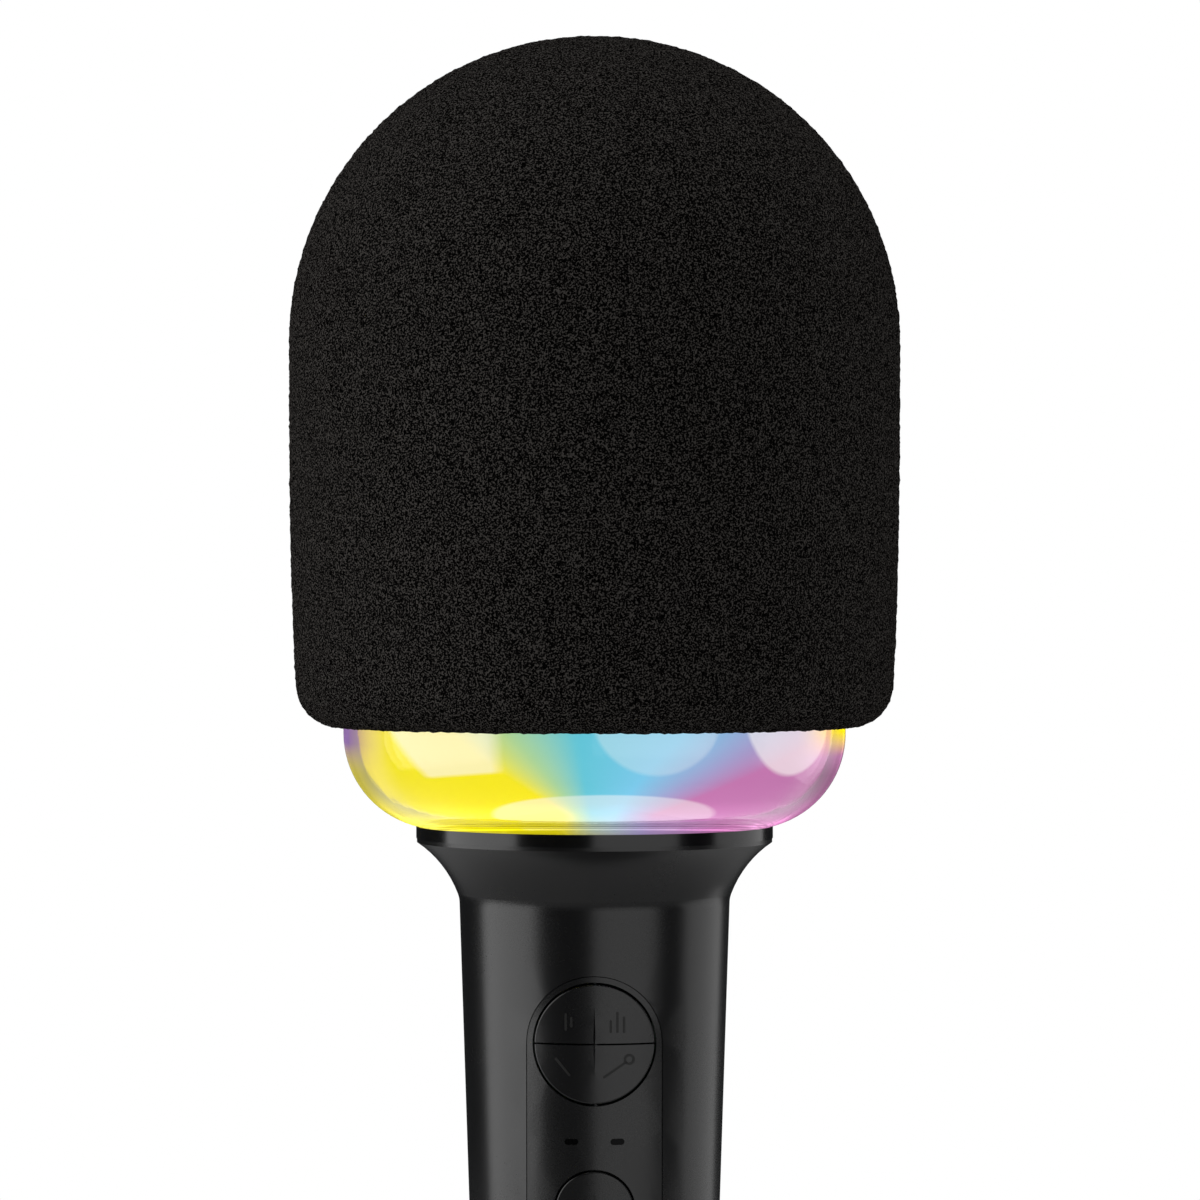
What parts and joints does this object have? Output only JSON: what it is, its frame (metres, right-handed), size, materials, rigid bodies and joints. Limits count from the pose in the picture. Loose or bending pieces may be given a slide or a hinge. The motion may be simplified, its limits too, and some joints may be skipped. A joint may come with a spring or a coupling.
{
  "type": "karaoke microphone",
  "caption": "Handheld karaoke microphone: black foam windscreen over a speaker and capsule, a clear bowl lit in several colours and a tapered black handle with keys.",
  "frame": {"origin": "middle of the tail's standing face, on the handle's axis", "axes": "+Z from the tail to the top of the windscreen, the keys face -Y, +X to the right of someone facing the keys"},
  "size_m": [0.0902, 0.0902, 0.26],
  "materials": {
    "foam": "open-cell foam, matt black",
    "grille_wire": "black woven wire",
    "satin_metal": "satin black",
    "lining": "thin acoustic foam",
    "nickel": "nickel plated",
    "felt": "black felt",
    "rubber": "matt",
    "black_plastic": "fine grain",
    "steel": "zinc plated",
    "stamped_steel": "black powder coat",
    "paper": "pressed paper",
    "spider_cloth": "resin-stiffened cloth",
    "circuit_board": "green solder mask",
    "dust_cap": "semi-gloss",
    "copper": "enamelled copper wire",
    "zinc_steel": "zinc plated",
    "ferrite": "sintered ferrite",
    "clear_plastic": "clear polished plastic",
    "diffuser": "milky, lit from inside in several colours",
    "white_board": "white solder mask",
    "led": "clear resin",
    "gloss_black": "polished",
    "satin_black": "satin soft-touch",
    "panel": "satin",
    "window": "smoked clear",
    "key": "satin with fine symbols",
    "switch": "stamped cover",
    "chip": "moulded package",
    "passive": "ceramic and ferrite",
    "socket": "cream nylon",
    "cell_wrap": "shrink sleeve",
    "wire": "soft insulation",
    "cable": "soft jacket"
  },
  "bodies": {
    "handle": {"capsule_body": "nickel", "capsule_face": "felt", "capsule_grommet": "rubber", "capsule_bridge": "black_plastic", "speaker_screws": "steel", "speaker_gasket": "rubber", "speaker_basket": "stamped_steel", "speaker_surround": "rubber", "speaker_spider": "spider_cloth", "speaker_terminals": "circuit_board", "magnet_washer": "zinc_steel", "magnet": "ferrite", "back_plate": "zinc_steel", "speaker_cup": "black_plastic", "head_screws": "steel", "light_bowl": "clear_plastic", "light_diffuser": "diffuser", "light_board": "white_board", "light_leds": "led", "core_tube": "black_plastic", "collar_ring": "gloss_black", "front_shell": "satin_black", "rear_shell": "satin_black", "case_screws": "steel", "control_panel": "panel", "indicator_windows": "window", "pad_pin": "steel", "volume_pin": "steel", "main_board": "circuit_board", "key_switches": "switch", "status_leds": "led", "board_screws": "steel", "audio_chips": "chip", "board_passives": "passive", "board_sockets": "socket", "battery_cell": "cell_wrap", "cell_guard": "circuit_board", "battery_cradle": "black_plastic", "charge_board": "circuit_board", "charge_chips": "chip", "usb_shell": "nickel", "usb_tongue": "black_plastic", "tail_cap": "satin_black", "tail_screws": "steel", "tail_pad": "rubber", "speaker_leads": "wire", "power_leads": "wire", "capsule_cable": "cable", "light_cable": "cable"},
    "grille": {"grille_dome": "grille_wire", "grille_ring": "satin_metal", "pop_filter": "lining"},
    "windscreen": {"foam_windscreen": "foam"},
    "upper_key": {"upper_key": "key"},
    "lower_key": {"lower_key": "key"},
    "power_key": {"power_key": "key"},
    "volume_key": {"volume_key": "key"},
    "cone": {"speaker_cone": "paper", "dust_cap": "dust_cap", "voice_coil": "copper"}
  },
  "joints": [
    {"name": "grille_lift", "type": "slide", "parent": "handle", "child": "grille", "axis": [0, 0, 1], "range_m": [0, 0.1]},
    {"name": "windscreen_pull", "type": "slide", "parent": "grille", "child": "windscreen", "axis": [0, 0, 1], "range_m": [0, 0.1]},
    {"name": "upper_key_rock", "type": "hinge", "parent": "handle", "child": "upper_key", "pos_m": [0, -0.0141, 0.1134], "axis": [0, 0, 1], "range_deg": [-3, 3], "stiffness_Nm_per_rad": 0.12},
    {"name": "lower_key_rock", "type": "hinge", "parent": "handle", "child": "lower_key", "pos_m": [0, -0.0141, 0.1134], "axis": [0, 0, 1], "range_deg": [-3, 3], "stiffness_Nm_per_rad": 0.12},
    {"name": "power_press", "type": "slide", "parent": "handle", "child": "power_key", "axis": [0, 1, 0], "range_m": [0, 0.0004], "stiffness_N_per_m": 2500},
    {"name": "volume_rock", "type": "hinge", "parent": "handle", "child": "volume_key", "pos_m": [0, -0.0135, 0.0717], "axis": [1, 0, 0], "range_deg": [-2.5, 2.5], "stiffness_Nm_per_rad": 0.2},
    {"name": "cone_travel", "type": "slide", "parent": "handle", "child": "cone", "axis": [0, 0, 1], "range_m": [-0.0008, 0.0008], "stiffness_N_per_m": 2000, "deforming": ["speaker_surround", "speaker_spider"]}
  ]
}
